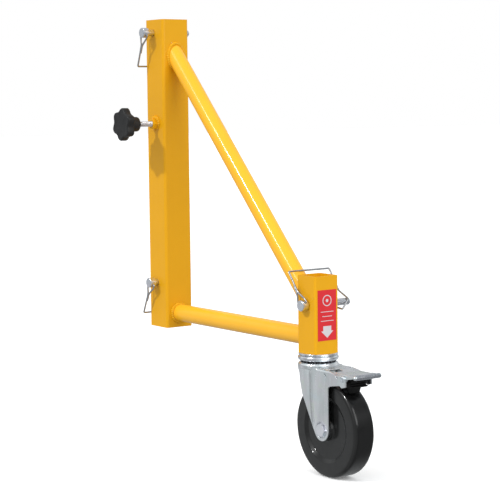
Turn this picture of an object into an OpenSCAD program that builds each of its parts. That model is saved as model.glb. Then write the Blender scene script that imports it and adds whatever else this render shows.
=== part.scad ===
// Bolt-on outrigger for a rolling scaffold: a channel that clamps on the scaffold's leg, a welded
// triangle of round tubes, and a socket that carries a locking swivel caster.
// Origin: centre of the channel's bottom end. +Z up, +X along the arm to the caster,
// pin heads and clamp knob on the -Y side.

/* [Channel post] */
// Outside width of the square channel
post_w = 44.5; // [42:0.5:56]
// Height of the channel
post_h = 451.5; // [420:0.5:520]
// Sheet thickness of the channel
post_wall = 2.5; // [2:0.25:3]
// Outside radius of the folded corners
post_corner = 4; // [3.5:0.5:6]

/* [Arm and brace] */
// Outside diameter of both round tubes
tube_d = 25; // [20:0.5:30]
// Wall of both round tubes
tube_wall = 2; // [1.5:0.25:3]
// Height of the arm's axis
arm_z = 21.4; // [18:0.1:30]
// Height where the brace's axis leaves the channel
brace_top_z = 398; // [340:1:400]
// Height where the brace's axis meets the socket
brace_foot_z = 71; // [60:1:76]

/* [Caster socket] */
// Distance from the channel's centre to the swivel axis
reach = 355.6; // [280:0.1:460]
// Outside width of the square socket
socket_w = 38.5; // [38:0.5:42]
// Length of the socket
socket_h = 101.6; // [96:0.1:120]
// Wall of the socket
socket_wall = 2; // [1.5:0.25:2]
// Outside corner radius of the socket
socket_corner = 3; // [2.5:0.5:4]
// Height of the socket's bottom end
socket_z = 2.4; // [0:0.1:5]

/* [Lock pins] */
// Shank diameter of the lock pins
pin_d = 9.5; // [8:0.5:10]
// Head diameter of the lock pins
head_d = 14.5; // [13:0.5:16]
// Length of the pin head
head_h = 10; // [8:0.5:12]
// Height of the top pin
top_pin_z = 432.4; // [430:0.1:440]
// Height of the bottom pin
bottom_pin_z = 66; // [60:0.5:80]
// Height of the caster pin
caster_pin_z = 65.5; // [60:0.5:70]
// Distance of the two channel pins behind the channel's centre
pin_back = 5; // [0:0.5:6]
// Diameter of the retaining wire
wire_d = 2.5; // [2:0.1:2.6]
// Distance from the pin's axis to the wire's cross run
wire_drop = 52; // [50:0.5:56]

/* [Clamp screw] */
// Height of the clamp screw
clamp_z = 300; // [200:1:340]
// Diameter of the threaded stud
stud_d = 8; // [6:0.5:10]
// Across-flats size of the weld nut
clamp_nut_af = 14; // [13:0.5:18]
// Outside radius of the knob over its lobes
knob_r = 24; // [22:0.5:28]
// Number of lobes on the knob
knob_lobes = 6; // [5:1:8]

/* [Caster] */
// Outside radius of the wheel
wheel_r = 63.5; // [60:0.5:65]
// Width of the wheel
wheel_w = 32; // [28:0.5:33]
// Distance of the axle behind the swivel axis
trail = 34; // [32:0.5:36]
// Height of the axle
axle_z = -93.8; // [-95:0.1:-93]
// Diameter of the axle bolt
axle_d = 10; // [8:0.5:11]
// Thickness of the fork's sheet
fork_t = 2.5; // [2:0.25:2.5]

/* [Hidden] */
$fn = 64;

// Gaps: a turning fit, a sliding fit, and the overrun that keeps cuts clean
run_gap = 0.06;
loose_gap = 0.4;
over = 1;

// Frame places
post_half = post_w / 2;
socket_half = socket_w / 2;
arm_len = reach - socket_half - post_half;
brace_drop = brace_top_z - brace_foot_z;
brace_angle = atan2(brace_drop, arm_len);
brace_len = norm([arm_len, brace_drop]);

// Label
label_size = [0.4, 30.5, 66.5];
label_z = 52.8;

// Lock pins: overall length, how far the head's outer face stands from the centre, and the tilt
// of the retaining wire about the pin's axis
long_pin = 81;
short_pin = 73;
top_head_y = -41.6;
bottom_head_y = -36.9;
caster_head_y = -socket_half - head_h - 0.1;
top_tilt = 22;
bottom_tilt = 25.5;
caster_tilt = 144;
pin_r = pin_d / 2;
pin_chamfer = 1.5;
head_chamfer = 0.8;

// Retaining wire, in the pin's frame: X along the cross hole, Y along the pin, Z away from the hoop
wire_r = wire_d / 2;
wire_sides = 8;
wire_bend = 2.2;
wire_stub = head_d / 2 - 3;
leg_spread = head_d / 2 + 2.25;
leg_knee = [8.6, 5.5];
leg_join = 19;
leg_double = 31;
wire_pitch = wire_r - 0.05;
wire_back = 13.5;
eye_top = 17;
eye_side = pin_r + wire_r + 0.8;
long_eye = 13;
top_eye = 6.6;
bottom_eye = 3.4;

// Clamp screw
clamp_nut_h = 8;
stud_tip_y = -14;
stud_end_y = -74;
knob_face_y = -82.7;
knob_rim_y = -71;
knob_back_y = -54.2;
knob_hub_r = 10.5;
lobe_r = 7.5;
knob_core_r = 19.5;
knob_phase = -8.4;
insert_r = 6.5;

// Swivel head, heights below the socket
stem_r = 16.75;
stem_top_z = 82;
stem_chamfer = 2;
plate_r = 26;
plate_z = -0.6;
ring_r = 27;
ring_bulge = 3.4;
ring_z = plate_z - ring_bulge;
ring_web = 3;
ball_r = 2.5;
ball_n = 22;
ball_pitch_r = 20.5;
ball_z = -8.7;
crown_z = -9.4;
crown_t = 3;
crown_bend = 4.5;
crown_flat_r = ring_r - crown_bend;
crown_skirt_z = -17;
low_ball_r = 2;
low_ball_n = 16;
low_pitch_r = 13;
low_ball_z = -14;
low_cup_z = -15;
low_cup_r = 17;
kingpin_r = 6;
kingpin_top_z = 14;
kingpin_low_z = -30;
kingpin_nut_af = 19;
kingpin_nut_h = 9;

// Fork, in the swivel's frame: X along the trail, Z up
fork_half = 22.5;
fork_inner = fork_half - fork_t;
plate_top_z = -11.8;
tip_r = 14.5;
dish_r = 10.5;
dish_depth = 2;
boss_r = dish_r + fork_t;
pivot = [78.5, -21.5];
ear_r = 5;
ear_end_x = 84;
relief_at = [[43, -21], [66.5, -20.5]];
relief_size = [1.6, 5.5];
relief_tilt = 35;
arch_r = 4;
arch_z = -35;
shelf_start = 18;
shelf_end = 46;
shelf_z = -13.3;
shelf_t = 2.4;
bolt_head_af = 16;
bolt_head_h = 4.5;
nut_h = 7;
sleeve_r = 7.5;
bush_r = 10;
pivot_r = 2.5;
pivot_head_r = 4.2;
pivot_head_h = 1.8;

// Wheel section
shoulder_r = 6;
rim_inner_r = 42;
web_half = 13;
hub_r = 14;
hub_half = 16.9;
washer_r = 12;
washer_gap = 0.1;

// Pedal
pedal_top_z = -16.2;
pedal_t = 2.2;
pedal_in_x = 48.5;
pedal_in_z = -13.9;
pedal_bend_x = 62;
pedal_wide_x = 84.6;
window_x = 57;
window_y = -3;
lip_x = 101;
lip_z = -17.7;
lip_r = 3.2;
lip_half = 22.3;
arm_half = 19.4;
shoe_half = 14;
shoe_front_x = 68.5;
shoe_back_x = 86;
shoe_low_z = -33.6;
cam_half = 8;
cam_r = 21;
cam_from = 250;
cam_to = 262;
cam_step = 4;

// ---------- shared shapes ----------

// Square with round corners, centred
module rounded_square(w, r) {
  square([w, w - 2 * r], center = true);
  square([w - 2 * r, w], center = true);
  for (x = [-1, 1], y = [-1, 1])
    translate([x * (w / 2 - r), y * (w / 2 - r)]) circle(r = r);
}

// Cylinder along Y from y0 to y1 at (x, z)
module y_rod(r, y0, y1, x = 0, z = 0, sides = 64) {
  translate([x, y0, z]) rotate([-90, 0, 0]) cylinder(r = r, h = y1 - y0, $fn = sides);
}

// Hexagon prism along Y, with its across-flats size
module y_hex(af, y0, y1, x = 0, z = 0) {
  y_rod(af / 2 / cos(30), y0, y1, x, z, 6);
}

// Solid turned about the Y axis from a profile drawn as (radius, y)
module y_turned(x = 0, z = 0) {
  translate([x, 0, z]) rotate([-90, 0, 0]) rotate_extrude() children();
}

// Sheet of thickness t drawn in the XZ plane, with its low-Y face at y0
module xz_sheet(y0, t) {
  translate([0, y0 + t, 0]) rotate([90, 0, 0]) linear_extrude(height = t) children();
}

// ---------- welded frame ----------

module post_profile() {
  inner = post_w - 2 * post_wall;
  difference() {
    union() {
      rounded_square(post_w, post_corner);
      translate([-post_half / 2, 0]) square([post_half, post_w], center = true);
    }
    rounded_square(inner, post_corner - post_wall);
    translate([-post_half, 0]) square([post_w, inner], center = true);
  }
}

module main_post() {
  color("goldenrod") difference() {
    linear_extrude(height = post_h) post_profile();
    for (z = [top_pin_z, bottom_pin_z])
      y_rod(pin_r + loose_gap, -post_w, post_w, -pin_back, z);
    y_rod(stud_d / 2 + loose_gap, -post_w, 0, 0, clamp_z);
  }
}

module horizontal_arm() {
  color("goldenrod") translate([post_half, 0, arm_z]) rotate([0, 90, 0]) difference() {
    cylinder(d = tube_d, h = arm_len);
    translate([0, 0, -over]) cylinder(d = tube_d - 2 * tube_wall, h = arm_len + 2 * over);
  }
}

module brace_rod(d) {
  translate([post_half, 0, brace_top_z]) rotate([0, 90 + brace_angle, 0])
    translate([0, 0, -2 * tube_d]) cylinder(d = d, h = brace_len + 4 * tube_d);
}

module diagonal_brace() {
  color("goldenrod") intersection() {
    difference() {
      brace_rod(tube_d);
      brace_rod(tube_d - 2 * tube_wall);
    }
    translate([post_half, -tube_d, 0]) cube([arm_len, 2 * tube_d, post_h]);
  }
}

module caster_socket() {
  color("goldenrod") difference() {
    translate([reach, 0, socket_z]) linear_extrude(height = socket_h) difference() {
      rounded_square(socket_w, socket_corner);
      rounded_square(socket_w - 2 * socket_wall, socket_corner - socket_wall);
    }
    y_rod(pin_r + loose_gap, -socket_w, socket_w, reach, caster_pin_z);
  }
}

module clamp_nut() {
  color("goldenrod") difference() {
    y_hex(clamp_nut_af, -post_half - clamp_nut_h, -post_half, 0, clamp_z);
    y_rod(stud_d / 2 + run_gap, -post_w, 0, 0, clamp_z);
  }
}

module label() {
  color("firebrick")
    translate([reach + socket_half, -label_size.y / 2, label_z - label_size.z / 2])
      cube(label_size);
}

// ---------- lock pins and their wires ----------

// Pin in its own frame: Y along the pin, the cross hole for the wire along X through the origin
module lock_pin(length) {
  shank_end = length - head_h / 2;
  difference() {
    y_turned() polygon([
      [0, -head_h / 2], [head_d / 2 - head_chamfer, -head_h / 2],
      [head_d / 2, -head_h / 2 + head_chamfer], [head_d / 2, head_h / 2 - head_chamfer],
      [head_d / 2 - head_chamfer, head_h / 2], [pin_r, head_h / 2],
      [pin_r, shank_end - pin_chamfer], [pin_r - pin_chamfer, shank_end], [0, shank_end]
    ]);
    rotate([0, 90, 0]) cylinder(r = wire_r + run_gap, h = 2 * head_d, center = true);
  }
}

// Round bend in a path: points from a to c that cut the corner at b, r back along each side
function bend(a, b, c, r, n = 4) =
  let (p = b + r * (a - b) / norm(a - b), q = b + r * (c - b) / norm(c - b))
  [for (i = [0:n]) let (t = i / n) (1 - t) * (1 - t) * p + 2 * t * (1 - t) * b + t * t * q];

// Path through the points with a round bend at each inner one
function rounded_path(pts, r) = concat(
  [pts[0]],
  [for (i = [1:len(pts) - 2]) each bend(pts[i - 1], pts[i], pts[i + 1], r)],
  [pts[len(pts) - 1]]
);

function unit(v) = v / norm(v);

// Round wire swept along a path: one ring of points at each path point, flat end caps
module wire(path, r) {
  last = len(path) - 1;
  guide = [0.62, 0.51, 0.59];
  rings = [for (i = [0:last])
    let (t = unit(path[min(i + 1, last)] - path[max(i - 1, 0)]))
    let (n = unit(guide - (guide * t) * t))
    let (b = cross(t, n))
    for (k = [0:wire_sides - 1])
      let (a = 360 * k / wire_sides) path[i] + r * (cos(a) * n + sin(a) * b)];
  sides = [for (i = [0:last - 1], k = [0:wire_sides - 1])
    let (k2 = (k + 1) % wire_sides, a = i * wire_sides)
    [a + wire_sides + k, a + wire_sides + k2, a + k2, a + k]];
  first_cap = [for (k = [0:wire_sides - 1]) k];
  end_cap = [for (k = [wire_sides - 1:-1:0]) last * wire_sides + k];
  polyhedron(points = rings, faces = concat(sides, [first_cap, end_cap]));
}

// Hoop from one side of the head, down past the head's rim, across and up to an eye that wraps
// round the pin's tail and ends the eye's length back towards the head
function hoop_path(length, eye) =
  let (run = length - wire_back)
  rounded_path([
    [-wire_stub, 0, 0], [-leg_spread, 0, 0], [-leg_knee.x, 0, -leg_knee.y],
    [-wire_pitch, 0, -leg_join], [-wire_pitch / 2, 0, -leg_double],
    [0, 0, -wire_drop], [0, run, -wire_drop],
    [0, run, -eye_top], [-eye_side, run + 4, 0], [-1.5, run - 0.65 * eye, 12],
    [eye_side, run - eye, 2]
  ], wire_bend);

// Short leg on the head's other side, which ends against the hoop
function short_leg_path() = rounded_path([
  [wire_stub, 0, 0], [leg_spread, 0, 0], [leg_knee.x, 0, -leg_knee.y],
  [wire_pitch, 0, -leg_join], [wire_pitch, 0, -leg_double]
], wire_bend);

module pin_wire(length, eye) {
  wire(hoop_path(length, eye), wire_r);
  wire(short_leg_path(), wire_r);
}

// Place in the frame: x and z of the pin's axis, y of the head's outer face, tilt about the axis
module place_pin(x, head_y, z, tilt) {
  translate([x, head_y + head_h / 2, z]) rotate([0, tilt, 0]) children();
}

module at_top_pin() place_pin(-pin_back, top_head_y, top_pin_z, top_tilt) children();
module at_bottom_pin() place_pin(-pin_back, bottom_head_y, bottom_pin_z, bottom_tilt) children();
module at_caster_pin() place_pin(reach, caster_head_y, caster_pin_z, caster_tilt) children();

module top_pin() { color("silver") at_top_pin() lock_pin(long_pin); }
module bottom_pin() { color("silver") at_bottom_pin() lock_pin(short_pin); }
module caster_pin() { color("silver") at_caster_pin() lock_pin(long_pin); }
module top_pin_wire() { color("gray") at_top_pin() pin_wire(long_pin, top_eye); }
module bottom_pin_wire() { color("gray") at_bottom_pin() pin_wire(short_pin, bottom_eye); }
module caster_pin_wire() { color("gray") at_caster_pin() pin_wire(long_pin, long_eye); }

// ---------- clamp screw ----------

module clamp_stud() {
  color("silver") y_turned(0, clamp_z) polygon([
    [0, stud_end_y], [stud_d / 2, stud_end_y], [stud_d / 2, stud_tip_y - 1],
    [stud_d / 2 - 1, stud_tip_y], [0, stud_tip_y]
  ]);
}

module knob_outline() {
  circle(r = knob_core_r);
  for (i = [0:knob_lobes - 1])
    rotate(i * 360 / knob_lobes + knob_phase)
      translate([0, knob_r - lobe_r]) circle(r = lobe_r);
}

module clamp_knob() {
  color("dimgray") difference() {
    union() {
      translate([0, knob_rim_y, clamp_z]) rotate([90, 0, 0])
        linear_extrude(height = knob_rim_y - knob_face_y) knob_outline();
      y_rod(knob_hub_r, knob_rim_y - over, knob_back_y, 0, clamp_z);
    }
    y_rod(insert_r, stud_end_y - over, 0, 0, clamp_z);
  }
}

module knob_insert() {
  color("darkgoldenrod") difference() {
    y_rod(insert_r, stud_end_y - over, knob_back_y, 0, clamp_z);
    y_rod(stud_d / 2 + run_gap, stud_end_y - run_gap, 0, 0, clamp_z);
  }
}

// ---------- caster: fixed half of the swivel ----------

module caster_stem() {
  color("silver") difference() {
    translate([reach, 0, 0]) rotate_extrude() polygon([
      [0, socket_z], [stem_r, socket_z], [stem_r, stem_top_z - stem_chamfer],
      [stem_r - stem_chamfer, stem_top_z], [0, stem_top_z]
    ]);
    y_rod(pin_r + loose_gap, -socket_w, socket_w, reach, caster_pin_z);
    translate([reach, 0, 0]) cylinder(r = kingpin_r, h = kingpin_top_z);
  }
}

module stem_plate() {
  color("silver") translate([reach, 0, plate_z]) difference() {
    cylinder(r = plate_r, h = socket_z - plate_z);
    translate([0, 0, -over]) cylinder(r = kingpin_r, h = 3 * over + socket_z - plate_z);
  }
}

module upper_raceway() {
  color("gainsboro") translate([reach, 0, 0]) rotate_extrude() difference() {
    union() {
      translate([ring_r - ring_bulge, ring_z]) circle(r = ring_bulge);
      translate([kingpin_r, plate_z - ring_web])
        square([ring_r - ring_bulge - kingpin_r, ring_web]);
    }
    translate([ball_pitch_r, ball_z]) circle(r = ball_r + run_gap);
  }
}

module ball_ring(n, r, pitch_r, z) {
  translate([reach, 0, z])
    for (i = [0:n - 1]) rotate(i * 360 / n) translate([pitch_r, 0, 0]) sphere(r = r, $fn = 24);
}

module swivel_balls() { color("gainsboro") ball_ring(ball_n, ball_r, ball_pitch_r, ball_z); }
module lower_balls() { color("gainsboro") ball_ring(low_ball_n, low_ball_r, low_pitch_r, low_ball_z); }

module kingpin() {
  color("silver") translate([reach, 0, kingpin_low_z])
    cylinder(r = kingpin_r, h = kingpin_top_z - kingpin_low_z);
}

module lower_raceway() {
  color("silver") translate([reach, 0, 0]) rotate_extrude() difference() {
    translate([kingpin_r, low_cup_z - ring_web]) square([low_cup_r - kingpin_r, ring_web]);
    translate([low_pitch_r, low_ball_z]) circle(r = low_ball_r + run_gap);
  }
}

module kingpin_nut() {
  color("silver") translate([reach, 0, low_cup_z - ring_web - kingpin_nut_h]) difference() {
    cylinder(r = kingpin_nut_af / 2 / cos(30), h = kingpin_nut_h, $fn = 6);
    translate([0, 0, -over]) cylinder(r = kingpin_r, h = kingpin_nut_h + 2 * over);
  }
}

// ---------- caster: turning half ----------

// Side plate of the fork, in (x, z) from the swivel axis
module fork_side_outline() {
  tip = [trail, axle_z];
  difference() {
    union() {
      polygon([
        [-12, plate_top_z], [-14.6, -13.5], [-15.6, -19], [-13.6, -34], [-8.4, -52],
        tip + tip_r * [cos(210.5), sin(210.5)], tip + [tip_r, 0],
        [tip.x + tip_r, arch_z], [72, -31], [76.5, -33.5], [ear_end_x, -31.5],
        [ear_end_x, -20], [ear_end_x - 4, -18.2], [shelf_end + 18, -17.6],
        [shelf_end, shelf_z], [shelf_start, shelf_z], [12, plate_top_z]
      ]);
      translate(tip) circle(r = tip_r);
      translate([tip.x + tip_r, arch_z - arch_r]) square(arch_r);
    }
    translate([tip.x + tip_r + arch_r, arch_z - arch_r]) circle(r = arch_r);
    translate(tip) circle(d = axle_d + 2 * run_gap);
    translate(pivot) circle(r = pivot_r);
    for (at = relief_at)
      translate(at) rotate(relief_tilt) square(relief_size, center = true);
  }
}

module fork_side() {
  difference() {
    union() {
      xz_sheet(-fork_half, fork_t) fork_side_outline();
      difference() {
        y_rod(boss_r, -fork_inner, -fork_inner + dish_depth, trail, axle_z);
        y_rod(axle_d / 2 + run_gap, -fork_half, 0, trail, axle_z);
      }
    }
    y_rod(dish_r, -fork_half - over, -fork_half + dish_depth, trail, axle_z);
  }
}

module crown() {
  rotate_extrude() difference() {
    union() {
      translate([kingpin_r + run_gap, crown_z - crown_t])
        square([crown_flat_r - kingpin_r - run_gap, crown_t]);
      intersection() {
        translate([crown_flat_r, crown_z - crown_bend]) circle(r = crown_bend);
        translate([crown_flat_r, crown_z - crown_bend]) square(crown_bend);
      }
      translate([ring_r - crown_t, crown_skirt_z])
        square([crown_t, crown_z - crown_bend - crown_skirt_z]);
    }
    intersection() {
      translate([crown_flat_r, crown_z - crown_bend]) circle(r = crown_bend - crown_t);
      translate([crown_flat_r, crown_z - crown_bend]) square(crown_bend);
    }
    translate([ball_pitch_r, ball_z]) circle(r = ball_r + run_gap);
    translate([low_pitch_r, low_ball_z]) circle(r = low_ball_r + run_gap);
  }
}

// Shelf that joins the side plates between the crown and the pedal
module fork_shelf() {
  difference() {
    translate([shelf_start, -fork_inner, shelf_z - shelf_t])
      cube([shelf_end - shelf_start, 2 * fork_inner, shelf_t]);
    cylinder(r = ring_r - crown_t / 2, h = 2 * fork_half, center = true);
  }
}

module fork() {
  color("lightsteelblue") translate([reach, 0, 0]) {
    crown();
    fork_shelf();
    fork_side();
    mirror([0, 1, 0]) fork_side();
  }
}

module axle_bolt() {
  seat = -fork_half + dish_depth;
  color("silver") {
    y_rod(axle_d / 2, seat, -seat + nut_h, reach + trail, axle_z);
    y_hex(bolt_head_af, seat - bolt_head_h, seat, reach + trail, axle_z);
  }
}

module axle_nut() {
  seat = fork_half - dish_depth;
  color("silver") difference() {
    y_hex(bolt_head_af, seat, seat + nut_h - over, reach + trail, axle_z);
    y_rod(axle_d / 2, 0, 2 * fork_half, reach + trail, axle_z);
  }
}

// Distance from the wheel's middle to the inner face of each leg's dish
function dish_half() = fork_inner - dish_depth;

module axle_sleeve() {
  color("silver") difference() {
    y_rod(sleeve_r, -dish_half(), dish_half(), reach + trail, axle_z);
    y_rod(axle_d / 2, -fork_half, fork_half, reach + trail, axle_z);
  }
}

module thrust_washers() {
  color("silver") for (side = [-1, 1]) difference() {
    y_rod(washer_r, side > 0 ? hub_half + washer_gap : -dish_half(),
      side > 0 ? dish_half() : -hub_half - washer_gap, reach + trail, axle_z);
    y_rod(sleeve_r, -fork_half, fork_half, reach + trail, axle_z);
  }
}

module pedal_pin() {
  color("silver") {
    y_rod(pivot_r, -fork_half, fork_half, reach + pivot.x, pivot.y);
    for (side = [-1, 1])
      y_rod(pivot_head_r, side > 0 ? fork_half : -fork_half - pivot_head_h,
        side > 0 ? fork_half + pivot_head_h : -fork_half, reach + pivot.x, pivot.y);
  }
}

// ---------- wheel ----------

module wheel_section() {
  flat = wheel_w / 2 - shoulder_r;
  difference() {
    union() {
      translate([rim_inner_r, -wheel_w / 2]) square([wheel_r - shoulder_r - rim_inner_r, wheel_w]);
      translate([wheel_r - 2 * shoulder_r, -flat]) square([2 * shoulder_r, 2 * flat]);
      for (side = [-1, 1]) translate([wheel_r - shoulder_r, side * flat]) circle(r = shoulder_r);
      translate([bush_r, -web_half]) square([rim_inner_r, 2 * web_half]);
      translate([bush_r, -hub_half]) square([hub_r - bush_r, 2 * hub_half]);
    }
    translate([0, -wheel_w]) square([bush_r, 2 * wheel_w]);
  }
}

module wheel() {
  color("black") y_turned(reach + trail, axle_z) wheel_section();
}

module hub_bush() {
  color("silver") difference() {
    y_rod(bush_r, -hub_half, hub_half, reach + trail, axle_z);
    y_rod(sleeve_r + run_gap, -fork_half, fork_half, reach + trail, axle_z);
  }
}

// ---------- brake ----------

module brake_pedal() {
  low_z = pedal_top_z - pedal_t;
  color("lightsteelblue") translate([reach, 0, 0]) {
    difference() {
      union() {
        xz_sheet(-arm_half, 2 * arm_half) polygon([
          [pedal_in_x, pedal_in_z], [pedal_bend_x, pedal_top_z], [lip_x, pedal_top_z],
          [lip_x, low_z], [pedal_bend_x, low_z], [pedal_in_x, pedal_in_z - pedal_t]
        ]);
        translate([pedal_wide_x, -lip_half, low_z])
          cube([lip_x - pedal_wide_x, 2 * lip_half, pedal_t]);
        for (side = [-1, 1]) {
          xz_sheet(side > 0 ? arm_half - pedal_t : -arm_half, pedal_t) union() {
            polygon([
              [pedal_bend_x, low_z], [pivot.x - ear_r, pivot.y], [pivot.x + ear_r, pivot.y],
              [pedal_wide_x + 4, low_z]
            ]);
            translate(pivot) circle(r = ear_r);
          }
          xz_sheet(side > 0 ? lip_half - pedal_t : -lip_half, pedal_t) polygon([
            [pedal_wide_x + 0.6, pedal_top_z], [pedal_wide_x + 0.6, -21.5], [lip_x, lip_z - 1],
            [lip_x, pedal_top_z]
          ]);
        }
      }
      y_rod(pivot_r + run_gap, -fork_half, fork_half, pivot.x, pivot.y);
      translate([pedal_in_x - over, window_y - fork_half, -fork_half])
        cube([window_x - pedal_in_x + over, fork_half, fork_half]);
    }
    y_rod(lip_r, -lip_half, lip_half, lip_x, lip_z);
  }
}

// Moulded shoe under the pedal: a block with a notch in its back, and a narrower cam below it
// that comes down on the tread as the pedal turns
module brake_shoe() {
  cam = [for (a = [cam_to:-cam_step:cam_from]) pivot + cam_r * [cos(a), sin(a)]];
  top_z = pedal_top_z - pedal_t;
  color("black") translate([reach, 0, 0]) difference() {
    union() {
      xz_sheet(-shoe_half, 2 * shoe_half) polygon([
        [shoe_front_x, top_z], [shoe_back_x, top_z], [shoe_back_x, -27],
        [shoe_back_x - 4, -29], [shoe_back_x - 4, -31], [shoe_back_x, -32],
        [shoe_back_x - 1, shoe_low_z], [shoe_front_x + 1, shoe_low_z], [shoe_front_x, -27]
      ]);
      xz_sheet(-cam_half, 2 * cam_half) polygon(concat(
        [[shoe_front_x + 1, shoe_low_z + 1], [shoe_back_x - 6, shoe_low_z + 1]], cam
      ));
    }
    y_rod(pivot_r + loose_gap, -fork_half, fork_half, pivot.x, pivot.y);
  }
}

// ---------- assembly ----------

main_post();
horizontal_arm();
diagonal_brace();
caster_socket();
clamp_nut();
label();
top_pin();
top_pin_wire();
bottom_pin();
bottom_pin_wire();
caster_pin();
caster_pin_wire();
clamp_stud();
clamp_knob();
knob_insert();
caster_stem();
stem_plate();
upper_raceway();
swivel_balls();
kingpin();
lower_balls();
lower_raceway();
kingpin_nut();
fork();
axle_bolt();
axle_nut();
axle_sleeve();
thrust_washers();
pedal_pin();
wheel();
hub_bush();
brake_pedal();
brake_shoe();
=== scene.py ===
import bmesh
import bpy
import numpy as np
from mathutils import Matrix, Vector


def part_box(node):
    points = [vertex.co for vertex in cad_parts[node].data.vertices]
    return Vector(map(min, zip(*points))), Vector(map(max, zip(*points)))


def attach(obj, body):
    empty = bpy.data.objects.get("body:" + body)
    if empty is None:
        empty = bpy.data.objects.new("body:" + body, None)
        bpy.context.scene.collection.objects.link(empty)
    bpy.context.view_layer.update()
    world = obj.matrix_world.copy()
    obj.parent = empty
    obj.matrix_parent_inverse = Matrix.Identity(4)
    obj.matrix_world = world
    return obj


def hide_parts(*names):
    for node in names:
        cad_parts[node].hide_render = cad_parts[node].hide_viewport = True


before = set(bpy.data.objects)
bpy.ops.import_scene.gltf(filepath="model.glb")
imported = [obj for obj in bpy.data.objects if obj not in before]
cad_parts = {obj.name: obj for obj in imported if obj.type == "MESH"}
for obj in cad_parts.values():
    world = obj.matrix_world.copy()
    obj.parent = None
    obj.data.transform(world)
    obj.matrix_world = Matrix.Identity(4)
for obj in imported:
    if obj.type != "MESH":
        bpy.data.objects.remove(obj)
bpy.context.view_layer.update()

# ---------------------------------------------------------------------------------------------
# Studio: a pale floor that the wheel stands on, a soft key light from the side of the knob, broad
# fill light all round, and a long lens a little above the socket.
# ---------------------------------------------------------------------------------------------
MM = 0.001


def noded(name):
    """A node material with an empty tree; gives the material, its nodes and its links."""
    material = bpy.data.materials.new(name)
    material.use_nodes = True
    tree = material.node_tree
    tree.nodes.clear()
    return material, tree.nodes, tree.links


floor_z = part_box("wheel")[0].z
FLOOR_GAP = 0.2 * MM
bpy.ops.mesh.primitive_plane_add(size=40, location=(0, 0, floor_z - FLOOR_GAP))
floor = bpy.context.object
floor.name = "studio_floor"
floor_paint, nodes, links = noded("studio_floor")
floor_shader = nodes.new("ShaderNodeBsdfPrincipled")
floor_shader.inputs["Base Color"].default_value = (0.98, 0.98, 0.98, 1)
floor_shader.inputs["Emission Color"].default_value = (1, 1, 1, 1)
floor_shader.inputs["Emission Strength"].default_value = 0.12
floor_shader.inputs["Roughness"].default_value = 0.9
floor_shader.inputs["Specular IOR Level"].default_value = 0.1
links.new(floor_shader.outputs[0], nodes.new("ShaderNodeOutputMaterial").inputs[0])
floor.data.materials.append(floor_paint)
floor.visible_glossy = False
floor.visible_diffuse = False

world = bpy.data.worlds.new("studio")
bpy.context.scene.world = world
world.use_nodes = True
sky = world.node_tree
backdrop = sky.nodes["Background"]
rays = sky.nodes.new("ShaderNodeLightPath")
toward = sky.nodes.new("ShaderNodeTexCoord").outputs["Generated"]


def banded(value, *pairs):
    """A grey ramp over value, with (position, grey) pairs."""
    made = sky.nodes.new("ShaderNodeValToRGB")
    for place, grey in pairs:
        stop = made.color_ramp.elements.new(place)
        stop.color = (grey * 0.985, grey, grey * 1.01, 1)
    for end in (len(pairs) + 1, 0):
        made.color_ramp.elements.remove(made.color_ramp.elements[end])
    sky.links.new(value, made.inputs[0])
    return made.outputs[0]


heights = sky.nodes.new("ShaderNodeSeparateXYZ")
sky.links.new(toward, heights.inputs[0])
rise_in = sky.nodes.new("ShaderNodeMapRange")
rise_in.inputs["From Min"].default_value = -1
sky.links.new(heights.outputs["Z"], rise_in.inputs["Value"])
tall = banded(rise_in.outputs[0], (0.05, 0.5), (0.36, 0.66), (0.47, 0.58), (0.52, 0.5),
              (0.6, 0.64), (0.71, 1.05), (0.81, 0.58), (0.93, 0.9))
compass = sky.nodes.new("ShaderNodeTexGradient")
compass.gradient_type = "RADIAL"
sky.links.new(toward, compass.inputs[0])
around = banded(compass.outputs[0], (0.02, 0.5), (0.075, 1.0), (0.11, 1.0), (0.17, 0.45),
                (0.25, 1.0), (0.33, 0.6), (0.42, 1.0), (0.52, 0.45), (0.6, 0.6), (0.66, 0.42),
                (0.78, 1.0), (0.88, 0.6), (0.96, 0.95))
walls = sky.nodes.new("ShaderNodeMix")
walls.data_type = "RGBA"
walls.blend_type = "MULTIPLY"
walls.inputs["Factor"].default_value = 1
sky.links.new(tall, walls.inputs[6])
sky.links.new(around, walls.inputs[7])


def chosen(is_ray, otherwise, when):
    """A colour mix that shows one colour to one kind of ray and another to the rest."""
    mix = sky.nodes.new("ShaderNodeMix")
    mix.data_type = "RGBA"
    sky.links.new(is_ray, mix.inputs["Factor"])
    for socket, source in ((mix.inputs[6], otherwise), (mix.inputs[7], when)):
        if isinstance(source, tuple):
            socket.default_value = source
        else:
            sky.links.new(source, socket)
    return mix.outputs[2]


ceiling = banded(rise_in.outputs[0], (0.35, 0.62), (0.65, 0.92))
soft = chosen(rays.outputs["Is Glossy Ray"], ceiling, walls.outputs[2])
sky.links.new(chosen(rays.outputs["Is Camera Ray"], soft, (1, 1, 1, 1)), backdrop.inputs["Color"])

bpy.context.scene.view_settings.view_transform = "Standard"


def light(kind, name, aim, place, power, size):
    """A lamp at place that points at aim; size is an area lamp's side or a sun's angle."""
    lamp = bpy.data.lights.new(name, kind)
    lamp.energy = power
    if kind == "SUN":
        lamp.angle = size
    else:
        lamp.size = size
    holder = bpy.data.objects.new(name, lamp)
    bpy.context.scene.collection.objects.link(holder)
    holder.location = place
    holder.rotation_euler = (Vector(place) - Vector(aim)).to_track_quat("Z", "Y").to_euler()
    holder.visible_camera = False


middle = Vector((0.18, 0, 0.15))
light("SUN", "key_light", middle, middle + Vector((-0.05, -0.73, 0.68)), 1.45, 0.05)
light("AREA", "fill_light", middle, (2.4, 0.2, 1.2), 24, 1.6)

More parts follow.
